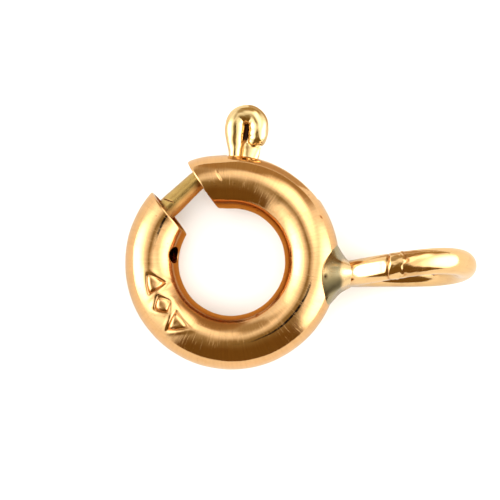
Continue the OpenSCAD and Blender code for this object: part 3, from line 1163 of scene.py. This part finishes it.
# The light of the open tent, and the background that the camera sees
OPEN_LIGHT = (1.16, 1.15, 1.08)
BACKGROUND = (0.97, 0.97, 0.97)

# Cards on the table, in millimetres: half the white one's side, the warm one's radius inside the
# ring, and the brown one's corners from the ring's centre
WHITE_CARD_HALF = 400.0
WARM_CARD_R = 2.3
BROWN_CARD = ((0.3, 5.2), (3.6, 3.8), (28.0, 45.0), (-4.0, 45.0))

# The table's sun: power, width and turns in degrees
SUN_POWER = 2.2
SUN_WIDTH = 60
SUN_TURNS = (12, -14, 0)


def panels(tree, chart, light, shapes):
    """Lays oval panels over the light, each with a soft edge."""
    for place, half, turn, soft, shine in shapes:
        spot = node(
            tree, "Mapping", vector_type="TEXTURE", Vector=chart, Location=(*place, 0.0),
            Rotation=(0.0, 0.0, math.radians(turn)), Scale=(*half, 1.0)).outputs["Vector"]
        reach = node(tree, "VectorMath", operation="LENGTH", In0=spot).outputs["Value"]
        light = mixed(tree, ranged(tree, reach, 1 + soft, 1 - soft), light, shine)
    return light


def card(name, corners, high, colour, even=0.85):
    """A card that lies on the table, high millimetres up, and is only seen mirrored in the
    metal. Its colour drifts down to that share of itself."""
    material = coloured(name, CARD_SCALE, tuple(even * c for c in colour), colour)
    corners = [(x * MM, y * MM, high * MM) for x, y in corners]
    sheet(name, corners, material, ["camera", "diffuse", "shadow"])


def studio():
    """A tent of soft light with brighter and darker panels, laid out on a chart: a direction's
    place on it is its angle from the camera's direction, turned as the camera sees it."""
    world = bpy.data.worlds.new("studio")
    bpy.context.scene.world = world
    world.use_nodes = True
    tree = world.node_tree
    tree.nodes.clear()
    way = node(tree, "TexCoord").outputs["Generated"]
    parts = [
        node(
            tree, "VectorMath", operation="DOT_PRODUCT", In0=way, In1=tuple(view_axes[:, k])
        ).outputs["Value"]
        for k in range(3)]
    level = node(tree, "CombineXYZ", X=parts[0], Y=parts[1], Z=0.0).outputs[0]
    level = node(tree, "VectorMath", operation="NORMALIZE", In0=level).outputs["Vector"]
    away = node(tree, "Math", operation="ARCCOSINE", In0=parts[2]).outputs[0]
    away = node(tree, "Math", operation="MULTIPLY", In0=away, In1=math.degrees(1)).outputs[0]
    chart = node(tree, "VectorMath", operation="SCALE", In0=level, Scale=away).outputs["Vector"]
    axes = parted(tree, chart)
    slant = times_plus(tree, axes["Y"], -FRONT_LEAN, -FRONT_MIDDLE)
    aside = node(tree, "Math", operation="ADD", In0=axes["X"], In1=slant).outputs[0]
    aside = node(tree, "Math", operation="ABSOLUTE", In0=aside).outputs[0]
    inside = times_plus(tree, axes["Y"], -FRONT_SPREAD, FRONT_HALF)
    inside = node(tree, "Math", operation="SUBTRACT", In0=inside, In1=aside).outputs[0]
    before_end = ranged(tree, away, FRONT_END + FRONT_END_EDGE, FRONT_END - FRONT_END_EDGE)
    inside = ranged(tree, inside, *FRONT_EDGE)
    inside = node(tree, "Math", operation="MULTIPLY", In0=inside, In1=before_end).outputs[0]
    light = panels(tree, chart, OPEN_LIGHT, PANELS)
    front = mixed(tree, ranged(tree, axes["Y"], *FRONT_DARKENS), FRONT_LIGHTER, FRONT_DARK)
    light = mixed(tree, inside, light, front)
    light = panels(tree, chart, light, [DARK_PANEL])
    seen = node(tree, "LightPath").outputs["Is Camera Ray"]
    light = mixed(tree, seen, light, BACKGROUND)
    background = node(tree, "Background", Color=light, Strength=1.0).outputs[0]
    tree.links.new(background, node(tree, "OutputWorld").inputs["Surface"])


def table_light():
    """A soft sun that lights the table and is not mirrored in the metal."""
    sun = added("table_light", bpy.data.lights.new("table_light", "SUN"))
    sun.data.energy = SUN_POWER
    sun.data.angle = math.radians(SUN_WIDTH)
    sun.visible_glossy = False
    sun.rotation_euler = [math.radians(turn) for turn in SUN_TURNS]


floor()
centre_x, centre_y = RING_CENTRE[:2] / MM
white_corners = [(x * WHITE_CARD_HALF, y * WHITE_CARD_HALF) for x, y in SQUARE]
warm_corners = [
    (centre_x + WARM_CARD_R * math.cos(t), centre_y + WARM_CARD_R * math.sin(t))
    for t in np.linspace(0, 2 * math.pi, 49)[:-1]]
brown_corners = [(centre_x + x, centre_y + y) for x, y in BROWN_CARD]
card("white_card", white_corners, 0.004, (0.60, 0.585, 0.56))
# Painted shade: this card inside the ring stands in for the table's shade under the ring, tinted by the
# gold, as the metal mirrors it
card("painted_shade_card", warm_corners, 0.02, (0.62, 0.34, 0.075), even=0.65)
card("brown_card", brown_corners, 0.012, (0.31, 0.22, 0.13))
studio()
table_light()
bpy.context.scene.view_settings.view_transform = "Standard"
